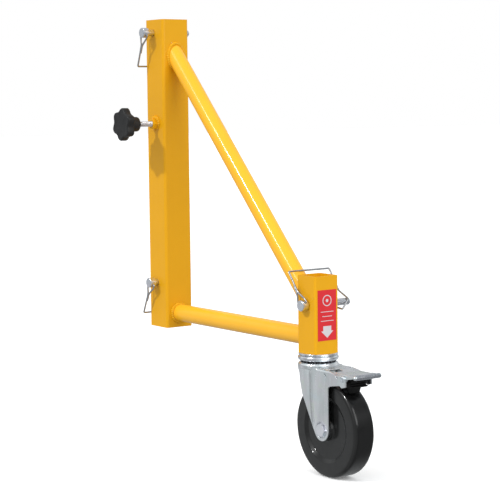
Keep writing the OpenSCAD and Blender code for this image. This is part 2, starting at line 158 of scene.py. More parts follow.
CAMERA_AZIMUTH = np.radians(54.654)
CAMERA_HEIGHT = np.radians(5.202)
CAMERA_ROLL = np.radians(-0.669)
CAMERA_AIM = Vector((203.46, 0, 126.431)) * MM
CAMERA_FAR = 2243.9 * MM
CAMERA_LENS = 116.81
back = Vector((
    np.sin(CAMERA_AZIMUTH) * np.cos(CAMERA_HEIGHT),
    -np.cos(CAMERA_AZIMUTH) * np.cos(CAMERA_HEIGHT),
    np.sin(CAMERA_HEIGHT),
))
level = Vector((np.cos(CAMERA_AZIMUTH), np.sin(CAMERA_AZIMUTH), 0))
rise = back.cross(level)
right = np.cos(CAMERA_ROLL) * level + np.sin(CAMERA_ROLL) * rise
up = np.cos(CAMERA_ROLL) * rise - np.sin(CAMERA_ROLL) * level
camera_data = bpy.data.cameras.new("camera")
camera_data.lens = CAMERA_LENS
camera_data.sensor_width = 36
camera_data.sensor_fit = "HORIZONTAL"
camera_data.clip_end = 100
camera = bpy.data.objects.new("camera", camera_data)
bpy.context.scene.collection.objects.link(camera)
camera.matrix_world = Matrix.Translation(CAMERA_AIM + CAMERA_FAR * back) @ Matrix(
    (right, up, back)
).transposed().to_4x4()
bpy.context.scene.camera = camera

# ---------------------------------------------------------------------------------------------
# Channel post: folded 2.5 mm steel sheet with a round corner on each side of the web, powder
# coated in one go with the tubes and the socket that are welded to it.
# ---------------------------------------------------------------------------------------------


def surface(material, metal=0.0, rough=0.5, coat=0.0, coat_rough=0.1, gloss=0.5):
    """Starts a material: a Principled shader with its plain values set, read in object space.
    Gives the material, its nodes and links, the shader and the coordinate output."""
    made, nodes, links = noded(material)
    shader = nodes.new("ShaderNodeBsdfPrincipled")
    shader.inputs["Metallic"].default_value = metal
    shader.inputs["Roughness"].default_value = rough
    shader.inputs["Coat Weight"].default_value = coat
    shader.inputs["Coat Roughness"].default_value = coat_rough
    shader.inputs["Specular IOR Level"].default_value = gloss
    links.new(shader.outputs[0], nodes.new("ShaderNodeOutputMaterial").inputs[0])
    place = nodes.new("ShaderNodeTexCoord").outputs["Object"]
    return made, nodes, links, shader, place


def stretched(nodes, links, place, scale):
    """The object coordinates times a scale for each axis."""
    mapping = nodes.new("ShaderNodeMapping")
    mapping.inputs["Scale"].default_value = scale
    links.new(place, mapping.inputs[0])
    return mapping.outputs[0]


def noise(nodes, links, place, scale, detail=3.0, rough=0.5):
    """A noise between 0 and 1 with that many cells a metre."""
    cells = nodes.new("ShaderNodeTexNoise")
    cells.inputs["Scale"].default_value = scale
    cells.inputs["Detail"].default_value = detail
    cells.inputs["Roughness"].default_value = rough
    links.new(place, cells.inputs["Vector"])
    return cells.outputs["Fac"]


def stops(nodes, links, value, *pairs):
    """A colour ramp over value, with (position, colour) pairs."""
    made = nodes.new("ShaderNodeValToRGB")
    band = made.color_ramp
    while len(band.elements) < len(pairs):
        band.elements.new(0.5)
    for stop, (position, colour) in zip(band.elements, pairs):
        stop.position = position
        stop.color = (*colour, 1)
    links.new(value, made.inputs[0])
    return made.outputs[0]


def spread(nodes, links, value, low, high):
    """Maps a noise value, which stays mostly between 0.3 and 0.7, to low and high."""
    made = nodes.new("ShaderNodeMapRange")
    made.inputs["From Min"].default_value = 0.3
    made.inputs["From Max"].default_value = 0.7
    made.inputs["To Min"].default_value = low
    made.inputs["To Max"].default_value = high
    links.new(value, made.inputs["Value"])
    return made.outputs[0]


def dented(nodes, links, shader, value, depth, strength=1.0):
    """Bumps the shader by value times depth, on top of any bump it has."""
    made = nodes.new("ShaderNodeBump")
    made.inputs["Distance"].default_value = depth
    made.inputs["Strength"].default_value = strength
    links.new(value, made.inputs["Height"])
    if shader.inputs["Normal"].is_linked:
        links.new(shader.inputs["Normal"].links[0].from_socket, made.inputs["Normal"])
    links.new(made.outputs[0], shader.inputs["Normal"])


def toned(nodes, links, shader, value, tone, dark, pale):
    """Colours the shader from dark times the tone to pale times the tone, as value rises."""
    ends = ((at, tuple(np.array(tone) * factor)) for at, factor in ((0.3, dark), (0.7, pale)))
    links.new(stops(nodes, links, value, *ends), shader.inputs["Base Color"])


def roughened(nodes, links, shader, place, scale, low, high):
    """Lets the shader's roughness drift from low to high, with that many cells a metre."""
    drift = spread(nodes, links, noise(nodes, links, place, scale), low, high)
    links.new(drift, shader.inputs["Roughness"])


def powder_coat(material, tone, coat):
    """Yellow powder coat: a soft orange-peel skin under a clear gloss, in two close yellows."""
    made, nodes, links, shader, place = surface(material, 0, 0.42, coat, 0.12, 0.16)
    toned(nodes, links, shader, noise(nodes, links, place, 22, 4), tone, 0.975, 1.025)
    roughened(nodes, links, shader, place, 150, 0.36, 0.48)
    dented(nodes, links, shader, noise(nodes, links, place, 420, 2), 0.00018, 0.35)
    dented(nodes, links, shader, noise(nodes, links, place, 1500, 2), 0.00004, 0.3)
    return made


def wear(name, material):
    """Gives a CAD node its finished material."""
    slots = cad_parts[name].data.materials
    slots.clear()
    slots.append(material)


powder = powder_coat("powder_coat", (0.765, 0.372, 0.005), 0.14)
wear("main_post", powder)

# ---------------------------------------------------------------------------------------------
# Arm and brace: two round 25 mm tubes of the same powder-coated steel, cut to meet the post and
# the socket, and welded all round at each end.
# ---------------------------------------------------------------------------------------------


def built(name, points, faces):
    """A smooth-shaded object from an array of points and a list of faces, at the origin."""
    mesh = bpy.data.meshes.new(name)
    mesh.from_pydata(np.asarray(points, float).reshape(-1, 3).tolist(), [], faces)
    mesh.polygons.foreach_set("use_smooth", np.ones(len(mesh.polygons), bool))
    mesh.update()
    made = bpy.data.objects.new(name, mesh)
    bpy.context.scene.collection.objects.link(made)
    return made


def quads(rows, columns, ring_rows=False):
    """The faces of a grid of rows by columns whose columns close on themselves. With ring_rows
    the rows close too, as on a torus; without it, each end is closed by one flat face."""
    bands = rows if ring_rows else rows - 1
    i, j = np.meshgrid(np.arange(bands), np.arange(columns), indexing="ij")
    down, across = (i + 1) % rows, (j + 1) % columns
    faces = np.stack([i * columns + j, i * columns + across, down * columns + across,
                      down * columns + j], -1).reshape(-1, 4).tolist()
    if not ring_rows:
        faces.append(list(range(columns))[::-1])
        faces.append(list(range((rows - 1) * columns, rows * columns)))
    return faces


def outward(piece):
    """Turns the faces of a closed piece outwards."""
    shell = bmesh.new()
    shell.from_mesh(piece.data)
    bmesh.ops.recalc_face_normals(shell, faces=shell.faces)
    shell.to_mesh(piece.data)
    shell.free()
    return piece


def crisp(piece, angle=35):
    """Shades sharply every edge that turns more than the angle, in degrees."""
    piece.data.set_sharp_from_angle(angle=np.radians(angle))
    return piece


def finished(piece, body, slot, material, *stands_for):
    """Gives a piece its body and material, and hides the CAD nodes it stands for. The slot
    argument is not used.
    """
    piece.data.materials.append(material)
    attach(piece, body)
    if stands_for:
        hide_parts(*stands_for)


def round_tube(name, start, slope, length_x, diameter, wall, sides=96):
    """A hollow tube between two upright planes. Its axis starts at start and drops by slope for
    each unit of X, so each end is the circle of the section slid along the axis to its plane:
    outer wall, end ring, inner wall and end ring make one closed sheet."""
    turn = np.linspace(0, 2 * np.pi, sides, endpoint=False)
    lean = np.sqrt(1 + slope * slope)
    rows = []
    for radius, x in (
        (diameter / 2, 0), (diameter / 2, length_x),
        (diameter / 2 - wall, length_x), (diameter / 2 - wall, 0),
    ):
        rows.append(np.stack([
            np.full(sides, start[0] + x),
            start[1] + radius * np.cos(turn),
            start[2] - slope * x + radius * lean * np.sin(turn),
        ], -1))
    piece = built(name, np.array(rows), quads(4, sides, ring_rows=True))
    return crisp(outward(piece))


arm_low, arm_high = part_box("horizontal_arm")
TUBE_D = arm_high.y - arm_low.y
TUBE_WALL = 2 * MM
TUBE_RUN = arm_high.x - arm_low.x
arm_z = (arm_low.z + arm_high.z) / 2
BRACE_RISE = 327 * MM
brace_slope = BRACE_RISE / TUBE_RUN
brace_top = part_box("diagonal_brace")[1].z - TUBE_D / 2 * np.sqrt(1 + brace_slope**2)

# The tubes wear a lighter copy of the post's powder coat. The extra lightness is painted light,
# for the light that falls on their round tops.
tube_powder_painted_light = powder_coat("powder_coat_tube_painted_light", (0.93, 0.47, 0.022), 0.35)
for name, height, slope, node in (
    ("arm_tube", arm_z, 0, "horizontal_arm"),
    ("brace_tube", brace_top, brace_slope, "diagonal_brace"),
):
    tube = round_tube(name, (arm_low.x, 0, height), slope, TUBE_RUN, TUBE_D, TUBE_WALL)
    finished(tube, "frame", "yellow_paint", tube_powder_painted_light, node)

# ---------------------------------------------------------------------------------------------
# Socket: square tube, open at the top, that takes the caster's stem. It is powder coated with
# the frame, and its CAD node has the right shape.
# ---------------------------------------------------------------------------------------------
wear("caster_socket", powder)

# ---------------------------------------------------------------------------------------------
# Weld beads: MIG runs round the four tube ends and round the clamp nut, laid in overlapping
# puddles and coated over with the frame.
# ---------------------------------------------------------------------------------------------


PUDDLE = 2.6 * MM


def bead(name, centre, normal, half_across, half_up, size, size_top=None, seed=0.0):
    """A ring of weld on a flat face: a round section carried along an ellipse in the face's
    plane. The section's radius swells once for each puddle, leans back over the one before, and
    wanders a little; size_top is its size at the top of the ring where that differs."""
    steps, sides = 260, 14
    along = np.linspace(0, 2 * np.pi, steps, endpoint=False)[:, None]
    round_it = np.linspace(0, 2 * np.pi, sides, endpoint=False)[None, :]
    normal = np.array(normal, float)
    across = np.cross((0, 0, 1.0), normal)
    upward = np.array((0, 0, 1.0))
    girth = np.pi * (half_across + half_up)
    count = round(girth / PUDDLE)
    top = size if size_top is None else size_top
    body_size = size + (top - size) * (0.5 + 0.5 * np.sin(along)) ** 1.5
    ripple = 1 + 0.13 * np.cos(count * along + 1.1 * np.sin(round_it)) ** 3
    wander = 1 + 0.08 * np.sin(3 * along + seed) + 0.05 * np.sin(7 * along + 2 * seed)
    radius = body_size * ripple * wander
    ring = (half_across * np.cos(along))[..., None] * across
    ring = ring + (half_up * np.sin(along))[..., None] * upward
    outwards = (half_up * np.cos(along))[..., None] * across
    outwards = outwards + (half_across * np.sin(along))[..., None] * upward
    outwards /= np.linalg.norm(outwards, axis=-1, keepdims=True)
    points = np.array(centre) + ring
    points = points + (radius * np.cos(round_it))[..., None] * outwards
    points = points + (radius * np.sin(round_it))[..., None] * normal
    piece = outward(built(name, points, quads(steps, sides, ring_rows=True)))
    finished(piece, "frame", "yellow_paint", powder)


BEAD = 2.9 * MM
tube_r = TUBE_D / 2
brace_half_up = tube_r * np.sqrt(1 + brace_slope**2)
brace_foot = brace_top - BRACE_RISE
for name, x, side, z, half_up, seed in (
    ("weld_arm_post", arm_low.x, 1, arm_z, tube_r, 0.4),
    ("weld_arm_socket", arm_high.x, -1, arm_z, tube_r, 1.7),
    ("weld_brace_post", arm_low.x, 1, brace_top, brace_half_up, 2.9),
    ("weld_brace_socket", arm_high.x, -1, brace_foot, brace_half_up, 4.1),
):
    bead(name, (x, 0, z), (side, 0, 0), tube_r + 0.3 * MM, half_up + 0.3 * MM, BEAD, seed=seed)

# ---------------------------------------------------------------------------------------------
# Clamp nut: a hex weld nut on the post's side, chamfered on its outer face, with a heap of weld
# along its upper flats.
# ---------------------------------------------------------------------------------------------


def hexagon(name, centre, start, end, flats, bore=0.0):
    """A hex nut or head along Y. Its outline is half the flats over the cosine of the angle from
    the nearest flat; the end face is cut back in proportion to how far the outline stands past
    the flats, which is what a 30 degree chamfer does. bore is the radius of a hole through it."""
    sides = 96
    turn = np.linspace(0, 2 * np.pi, sides, endpoint=False)
    from_flat = (turn + np.pi / 6) % (np.pi / 3) - np.pi / 6
    outline = flats / 2 / np.cos(from_flat)
    face_r = flats / 2 - 0.25 * MM
    cut = (outline - face_r) * np.tan(np.radians(30))
    near, far = np.full(sides, start), np.full(sides, end)
    rows = [
        (outline, near), (outline, far - np.sign(end - start) * cut), (np.full(sides, face_r), far)
    ]
    if bore:
        rows += [(np.full(sides, bore), far), (np.full(sides, bore), near)]
    points = np.array([
        np.stack([centre[0] + r * np.sin(turn), y, centre[2] + r * np.cos(turn)], -1)
        for r, y in rows
    ])
    piece = built(name, points, quads(len(rows), sides, ring_rows=bool(bore)))
    return crisp(outward(piece), 25)


nut_low, nut_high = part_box("clamp_nut")
clamp_z = (nut_low.z + nut_high.z) / 2
NUT_FLATS = nut_high.z - nut_low.z
NUT_BORE = 4.06 * MM
nut = hexagon("weld_nut", (0, 0, clamp_z), nut_high.y, nut_low.y, NUT_FLATS, NUT_BORE)
finished(nut, "frame", "yellow_paint", powder, "clamp_nut")
nut_ring = 8 * MM
bead("weld_nut_bead", (0, nut_high.y, clamp_z), (0, -1, 0), nut_ring, nut_ring,
     1.5 * MM, 4.4 * MM, seed=0.9)

# ---------------------------------------------------------------------------------------------
# Clamp stud: M8 threaded rod, rolled and zinc plated. One end is screwed into the knob's brass
# insert, and the other runs through the weld nut.
# ---------------------------------------------------------------------------------------------


def zinc(material, base, rough=0.3, streak=(1, 1, 1), tint=True, grain=1.0):
    """Zinc plate on steel: a metal whose colour drifts between blue, rose and straw, with cloudy
    roughness and fine rolling grain drawn out along the streak scale."""
    made, nodes, links, shader, place = surface(material, 1, rough)
    clouds = noise(nodes, links, place, 38, 4, 0.6)
    drift = ((0.97, 1.0, 1.04), (1, 1, 1), (1.04, 0.99, 1.02), (1.01, 1.03, 0.95))
    if not tint:
        drift = ((0.97, 0.97, 0.97), (1, 1, 1), (1.02, 1.02, 1.02), (0.98, 0.98, 0.98))
    places = (0.3, 0.45, 0.56, 0.7)
    pairs = [
        (at, tuple(np.clip(np.multiply(base, shift), 0, 1))) for at, shift in zip(places, drift)
    ]
    veil = noise(nodes, links, stretched(nodes, links, place, (1, 1, 0.3)), 42, 4, 0.6)
    veiled = nodes.new("ShaderNodeMix")
    veiled.data_type = "RGBA"
    veiled.blend_type = "MULTIPLY"
    veiled.inputs["Factor"].default_value = 1
    links.new(stops(nodes, links, clouds, *pairs), veiled.inputs[6])
    links.new(stops(nodes, links, veil, (0.34, (0.86,) * 3), (0.6, (1.0,) * 3)), veiled.inputs[7])
    links.new(veiled.outputs[2], shader.inputs["Base Color"])
    lines = noise(nodes, links, stretched(nodes, links, place, streak), 260, 4, 0.65)
    links.new(spread(nodes, links, lines, rough - 0.07, rough + 0.1), shader.inputs["Roughness"])
    dented(nodes, links, shader, noise(nodes, links, place, 120, 3), 0.00012, 0.25 * grain)
    dented(nodes, links, shader, lines, 0.00003, 0.4 * grain)
    return made


def threaded(name, axis_z, start, end, major, pitch, depth):
    """A screw thread along Y: the radius falls from the crest to the root and back once for each
    turn of the angle plus each pitch of travel, and both ends taper into a chamfer."""
    sides, per_pitch = 40, 8
    rows = int(round((end - start) / pitch * per_pitch)) + 1
    y = np.linspace(start, end, rows)[:, None]
    turn = np.linspace(0, 2 * np.pi, sides, endpoint=False)[None, :]
    phase = (y / pitch + turn / (2 * np.pi)) % 1
    valley = np.clip(np.abs(phase - 0.5) * 2.6 - 0.3, 0, 1)
    radius = major - depth * (1 - valley)
    ends = np.minimum(y - start, end - y)
    radius = np.minimum(radius, major - depth - 0.3 * MM + ends)
    points = np.stack([
        radius * np.sin(turn), y + 0 * turn, axis_z + radius * np.cos(turn)
    ], -1)
    return crisp(outward(built(name, points, quads(rows, sides))), 50)


stud_zinc = zinc("stud_zinc", (0.84, 0.85, 0.87), 0.34, grain=0.4)
stud_low, stud_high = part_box("clamp_stud")
STUD_R = (stud_high.x - stud_low.x) / 2
PITCH = 1.25 * MM
THREAD_DEPTH = 0.5 * MM
stud = threaded("clamp_stud_thread", clamp_z, stud_low.y, stud_high.y, STUD_R, PITCH, THREAD_DEPTH)
finished(stud, "clamp_screw", "stud_zinc", stud_zinc, "clamp_stud")

# ---------------------------------------------------------------------------------------------
# Clamp knob: black nylon with six lobes and a short neck, moulded round a brass thread insert.
# The moulding has a fine spark-eroded grain.
# ---------------------------------------------------------------------------------------------


def moulded(material, tone, rough, gloss):
    """Moulded plastic: one dark tone with faint clouding, and a fine even grain."""
    made, nodes, links, shader, place = surface(material, 0, rough, gloss=gloss)
    toned(nodes, links, shader, noise(nodes, links, place, 60, 4), tone, 0.82, 1.2)
    roughened(nodes, links, shader, place, 240, rough - 0.06, rough + 0.08)
    dented(nodes, links, shader, noise(nodes, links, place, 1400, 2), 0.00006, 0.5)
    return made


LOBES = 6
LOBE_DEPTH = 4.2 * MM
LOBE_PHASE = np.radians(-8.4)


def lobed_knob(name, axis_z, face, rim, back, radius):
    """A knob turned about Y. The lobed outline falls from its full radius to its waist as one
    cosine for each lobe. Each row gives a Y, how far the lobed outline has taken over from the
    round neck, how far it is inset, and the neck's radius."""
    turn = np.linspace(0, 2 * np.pi, 216, endpoint=False)[None, :]
    outline = radius - LOBE_DEPTH * (1 - np.cos(LOBES * (turn - LOBE_PHASE))) / 2
    neck = 10.9
    table = np.array([
        (back, 0, 0, 8.6), (back - 0.15, 0, 0, 9.6), (back - 0.6, 0, 0, 10.3),
        (back - 1.5, 0, 0, 10.6), (back - 8, 0, 0, neck), (rim + 2.2, 0, 0, neck + 0.3),
        (rim + 0.9, 0, 0, neck + 0.9), (rim + 0.25, 0.06, 3, neck + 1.4),
        (rim, 0.2, 3, neck + 1.8), (rim, 0.6, 2.6, neck + 2), (rim, 1, 2.2, 0),
        (rim - 0.12, 1, 1.3, 0), (rim - 0.5, 1, 0.55, 0), (rim - 1.2, 1, 0.12, 0),
        (rim - 2.2, 1, 0, 0), (face + 2.6, 1, 0, 0), (face + 1.5, 1, 0.16, 0),
        (face + 0.7, 1, 0.6, 0), (face + 0.2, 1, 1.3, 0), (face, 1, 2.2, 0),
        (face + 0.05, 1, 3.4, 0), (face + 0.4, 1, 5.2, 0), (face + 0.6, 0.75, 8, 10),
        (face + 0.7, 0.3, 10, 9), (face + 0.7, 0, 0, 5), (face + 0.7, 0, 0, 1),
    ])
    y, share, inset, neck_r = (table[:, k][:, None] for k in range(4))
    radii = share * (outline - inset * MM) + (1 - share) * neck_r * MM
    points = np.stack([
        -radii * np.sin(turn), y * MM + 0 * turn, axis_z + radii * np.cos(turn)
    ], -1)
    return crisp(outward(built(name, points, quads(len(table), turn.size))), 40)


knob_black = moulded("knob_nylon", (0.017, 0.017, 0.0175), 0.45, 0.3)
knob_low, knob_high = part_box("clamp_knob")
KNOB_RIM = -71
KNOB_R = 23.9 * MM
knob = lobed_knob("clamp_knob_moulding", clamp_z, knob_low.y / MM, KNOB_RIM, knob_high.y / MM,
                  KNOB_R)
finished(knob, "knob", "knob_plastic", knob_black, "clamp_knob")


def plain_metal(material, tone):
    """Bare machined metal with a faint cloud and a fine grain in its polish."""
    made, nodes, links, shader, place = surface(material, 1, 0.3)
    toned(nodes, links, shader, noise(nodes, links, place, 90), tone, 0.9, 1)
    roughened(nodes, links, shader, place, 500, 0.24, 0.38)
    return made


wear("knob_insert", plain_metal("insert_brass", (0.80, 0.58, 0.26)))

# ---------------------------------------------------------------------------------------------
# Lock pins: turned and zinc plated steel, with a cross hole through the head for the wire. The
# CAD nodes have the right shape, so they only get their plating.
# ---------------------------------------------------------------------------------------------
pin_zinc = zinc("pin_zinc", (0.80, 0.83, 0.88), 0.27)
for pin in ("top_pin", "bottom_pin", "caster_pin"):
    wear(pin, pin_zinc)

# ---------------------------------------------------------------------------------------------
# Retaining wires: 2.5 mm drawn spring wire, bent cold into a hoop. One end passes through the
# head from each side, and the far end is an eye that snaps round the pin's tail.
# ---------------------------------------------------------------------------------------------


def eased(corners, radius, steps=8):
    """A path through the corners with a round bend at each: a quadratic curve from radius before
    the corner to radius after it."""
    corners = np.array(corners, float)
    before, at, after = corners[:-2], corners[1:-1], corners[2:]
    leave = at + radius * (before - at) / np.linalg.norm(before - at, axis=1, keepdims=True)
    meet = at + radius * (after - at) / np.linalg.norm(after - at, axis=1, keepdims=True)
    t = np.linspace(0, 1, steps)[None, :, None]
    curve = (1 - t) ** 2 * leave[:, None] + 2 * t * (1 - t) * at[:, None] + t**2 * meet[:, None]
    return np.vstack([corners[:1], curve.reshape(-1, 3), corners[-1:]])


def wire_faces(path, radius, sides=14):
    """A round wire along a path: a ring of points at each path point, in the plane square to the
    path there, measured from one guide direction so that the rings don't twist."""
    tangent = np.gradient(path, axis=0)
    tangent /= np.linalg.norm(tangent, axis=1, keepdims=True)
    guide = np.array((0.62, 0.51, 0.59))
    first = guide - (tangent @ guide)[:, None] * tangent
    first /= np.linalg.norm(first, axis=1, keepdims=True)
    second = np.cross(tangent, first)
    turn = np.linspace(0, 2 * np.pi, sides, endpoint=False)[None, :, None]
    ring = np.cos(turn) * first[:, None] + np.sin(turn) * second[:, None]
    return (path[:, None] + radius * ring).reshape(-1, 3), quads(len(path), sides)


LEG = ((4.25, 0), (9.5, 0), (8.6, -5.5), (1.2, -19))
LEG_END = -31
WIRE_R = 1.25
WIRE_BEND = 2.2
WIRE_DROP = 52
TAIL_LEFT = 13.5
EYE_TOP = -17
EYE_X = 6.8


def hoop(pin, centre, tilt, length, eye):
    """The whole wire of one pin. In its own frame X is the cross hole, Y the pin and -Z the way
    the hoop hangs; it is turned by tilt about Y and moved to the cross hole."""
    run = length - TAIL_LEFT
    left, right = ([(side * x, 0, z) for x, z in LEG] for side in (-1, 1))
    long_leg = eased([
        *left, (-0.6, 0, LEG_END), (0, 0, -WIRE_DROP), (0, run, -WIRE_DROP), (0, run, EYE_TOP),
        (-EYE_X, run + 4, 0), (-1.5, run - 0.65 * eye, 12), (EYE_X, run - eye, 2),
    ], WIRE_BEND)
    short_leg = eased([*right, (1.2, 0, LEG_END)], WIRE_BEND)
    points, faces = [], []
    for leg in (long_leg, short_leg):
        leg_points, leg_faces = wire_faces(leg, WIRE_R)
        faces += [[index + sum(map(len, points)) for index in face] for face in leg_faces]
        points.append(leg_points)
    points = np.vstack(points)
    c, s = np.cos(np.radians(tilt)), np.sin(np.radians(tilt))
    x, y, z = points.T
    turned = np.stack([c * x + s * z, y, c * z - s * x], -1)
    piece = outward(built(f"{pin}_hoop", turned * MM + np.array(centre), faces))
    finished(crisp(piece, 60), f"{pin}_wire", "wire_steel", spring_wire, f"{pin}_pin_wire")


spring_wire = zinc("spring_wire", (0.50, 0.51, 0.53), 0.34, tint=False)
HEAD_HALF = 5 * MM
for pin, tilt, length, eye in (
    ("top", 22, 81, 6.6), ("bottom", 25.5, 73, 3.4), ("caster", 144, 81, 13),
):
    low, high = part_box(f"{pin}_pin")
    centre = ((low.x + high.x) / 2, low.y + HEAD_HALF, (low.z + high.z) / 2)
    hoop(pin, centre, tilt, length, eye)

# ---------------------------------------------------------------------------------------------
# Label: a printed vinyl sticker on the socket, red with a plain ring, plain bars and a plain
# arrow. The print is a skin of ink on the film.
# ---------------------------------------------------------------------------------------------


def plate(name, outline, x, thickness):
    """A flat shape on the socket's face: its outline in Y and Z, carried along X."""
    outline = np.array(outline, float)
    front = np.column_stack([np.full(len(outline), x + thickness), outline])
    rear = np.column_stack([np.full(len(outline), x), outline])
    piece = built(name, np.array([rear, front]), quads(2, len(outline)))
    return crisp(outward(piece))


def vinyl(material, tone):
    """Printed film: a flat ink under a thin gloss, slightly mottled."""
    made, nodes, links, shader, place = surface(material, 0, 0.4, 0.2, 0.15, 0.2)
    toned(nodes, links, shader, noise(nodes, links, place, 90, 4), tone, 0.93, 1)
    dented(nodes, links, shader, noise(nodes, links, place, 500), 0.00002, 0.4)
    return made


def ring_outline(centre, radius, sides=48):
    """Points of a circle in Y and Z."""
    turn = np.linspace(0, 2 * np.pi, sides, endpoint=False)
    return np.stack([centre[0] + radius * np.cos(turn), centre[1] + radius * np.sin(turn)], -1)


label_red = vinyl("label_red", (0.70, 0.028, 0.036))
label_pale = vinyl("label_pale", (0.66, 0.62, 0.64))
label_low, label_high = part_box("label")
wear("label", label_red)
mid_y = (label_low.y + label_high.y) / 2
INK = 0.05 * MM
BAR_HALF = 0.4 * MM
label_x = label_high.x
unit_w = label_high.y - label_low.y
unit_h = label_high.z - label_low.z
ring_at = (mid_y, label_high.z - 0.21 * unit_h)
prints = {"label_ring": (ring_outline(ring_at, 0.24 * unit_w), label_pale, 1),
          "label_ring_inside": (ring_outline(ring_at, 0.20 * unit_w), label_red, 2),
          "label_dot": (ring_outline(ring_at, 0.07 * unit_w), label_pale, 3)}
for row in range(3):
    z = label_high.z - (0.43 + 0.09 * row) * unit_h
    half = (0.34, 0.26, 0.34)[row] * unit_w
    bar = [(mid_y + y * half, z + up * BAR_HALF) for y, up in ((-1, -1), (1, -1), (1, 1), (-1, 1))]
    prints[f"label_bar_{row}"] = (bar, label_pale, 1)
arrow_z = label_low.z + 0.055 * unit_h
arrow = [(0, 0), (10, 9), (6.6, 9), (6.6, 15.5), (-6.6, 15.5), (-6.6, 9), (-10, 9)]
prints["label_arrow"] = ([(mid_y + y * MM, arrow_z + z * MM) for y, z in arrow], label_pale, 1)
for name, (outline, ink, layer) in prints.items():
    finished(plate(name, outline, label_x, layer * INK), "frame", "label_film", ink)

# ---------------------------------------------------------------------------------------------
# Stem and swivel, upper half: a turned stem with a flange, and a pressed raceway that is riveted
# under it and holds the balls. The turned pieces are glossy and the stem is softer.
# ---------------------------------------------------------------------------------------------


def lathe(name, axis, centre, profile, sides=128, sharp=35):
    """A turned piece. The profile is (radius, place along the axis) in millimetres, and each of
    its points is carried round the axis; the ends close at their own radius."""
    radius, along = (np.array(profile, float).T * MM)[:, :, None]
    turn = np.linspace(0, 2 * np.pi, sides, endpoint=False)[None, :]
    first, second = radius * np.cos(turn), radius * np.sin(turn)
    third = along + 0 * turn
    order = (first, second, third) if axis == "Z" else (first, third, second)
    points = np.stack(order, -1) + np.array(centre)
    return crisp(outward(built(name, points, quads(len(radius), sides))), sharp)


def corner(centre, radius, start, end, steps=7):
    """Points of a round corner in a profile, from one angle to another, in degrees."""
    turn = np.radians(np.linspace(start, end, steps))
    return [(centre[0] + radius * np.cos(a), centre[1] + radius * np.sin(a)) for a in turn]


caster_zinc = zinc("caster_zinc", (0.85, 0.90, 0.91), 0.3, streak=(1, 1, 0.1))
bright_zinc = zinc("bright_zinc", (0.90, 0.94, 0.97), 0.14, grain=0.12)
wear("caster_stem", caster_zinc)
plate_low, plate_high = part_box("stem_plate")
SWIVEL_X = (plate_low.x + plate_high.x) / 2
swivel = (SWIVEL_X, 0, 0)
PLATE_R = (plate_high.x - plate_low.x) / 2 / MM
PLATE_LOW, PLATE_HIGH = plate_low.z / MM, plate_high.z / MM
PLATE_RIM = 1.1
stem_flange = lathe("stem_flange", "Z", swivel, [
    (6, PLATE_LOW), *corner((PLATE_R - PLATE_RIM, PLATE_LOW + PLATE_RIM), PLATE_RIM, -90, 0),
    *corner((PLATE_R - PLATE_RIM, PLATE_HIGH - PLATE_RIM), PLATE_RIM, 0, 90), (6, PLATE_HIGH),
])
race_zinc = zinc("raceway_zinc", (0.84, 0.89, 0.92), 0.2, grain=0.04)
finished(stem_flange, "frame", "caster_zinc", race_zinc, "stem_plate")
RING_R = 3.4
RING_AT = (PLATE_R - 2.4, PLATE_LOW - RING_R)
raceway = lathe("raceway_pressing", "Z", swivel, [
    (6.1, PLATE_LOW - 0.02), (RING_AT[0], PLATE_LOW - 0.02),
    *corner(RING_AT, RING_R, 80, -84, 25), (23.2, -7.1), (23.1, -6.1), (21.2, -5.85), (20.2, -5.6),
    (20.2, -3.6), (6.1, -3.6),
])
finished(raceway, "frame", "caster_zinc", race_zinc, "upper_raceway")
# The balls are toned near black: painted shade, for the dark gap between the raceways where they
# sit.
ball_steel = plain_metal("ball_steel", (0.10, 0.10, 0.11))
for node in ("swivel_balls", "lower_balls"):
    wear(node, ball_steel)
fastener = zinc("fastener_zinc", (0.72, 0.73, 0.74), 0.28, tint=False)
for node in ("lower_raceway", "kingpin", "kingpin_nut", "axle_sleeve", "thrust_washers",
             "hub_bush"):
    wear(node, fastener)

# ---------------------------------------------------------------------------------------------
# Fork: pressed from 2.5 mm steel in one piece: a round crown, two legs that taper to the axle
# with a dish round each bolt seat, and ears that carry the pedal. The plating is a soft zinc.
# ---------------------------------------------------------------------------------------------


def pressed(name, node, voxel, rounds, shape=None):
    """A pressed sheet from a CAD node: its solid is remeshed in even cells, moved by shape, and
    smoothed so that every sheared edge and bend gets the small radius that a press leaves. Each
    smoothing round moves every point half way to the mean of its neighbours, and every second
    round moves it back by slightly less, so that the sheet keeps its thickness."""
    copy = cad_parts[node].data.copy()
    source = bpy.data.objects.new(name + "_source", copy)
    bpy.context.scene.collection.objects.link(source)
    merged = bmesh.new()
    merged.from_mesh(copy)
    bmesh.ops.remove_doubles(merged, verts=merged.verts, dist=1e-6)
    merged.to_mesh(copy)
    merged.free()
    remesh = source.modifiers.new("even", "REMESH")
    remesh.mode = "VOXEL"
    remesh.voxel_size = voxel
    dense = bpy.data.meshes.new_from_object(
        source.evaluated_get(bpy.context.evaluated_depsgraph_get())
    )
    bpy.data.objects.remove(source)
    place = np.zeros(len(dense.vertices) * 3)
    dense.vertices.foreach_get("co", place)
    place = place.reshape(-1, 3)
    ends = np.zeros(len(dense.edges) * 2, np.int64)
    dense.edges.foreach_get("vertices", ends)
    first, second = ends.reshape(-1, 2).T
    degree = np.bincount(ends, minlength=len(place))[:, None]
    if shape is not None:
        place = shape(place)
    for turn in range(rounds):
        total = np.zeros_like(place)
        for axis in range(3):
            total[:, axis] = np.bincount(first, place[second, axis], len(place))
            total[:, axis] += np.bincount(second, place[first, axis], len(place))
        place = place + (0.5 if turn % 2 == 0 else -0.47) * (total / degree - place)
    dense.vertices.foreach_set("co", place.ravel())
    dense.polygons.foreach_set("use_smooth", np.ones(len(dense.polygons), bool))
    dense.materials.clear()
    dense.name = name
    dense.update()
    piece = bpy.data.objects.new(name, dense)
    bpy.context.scene.collection.objects.link(piece)
    return piece


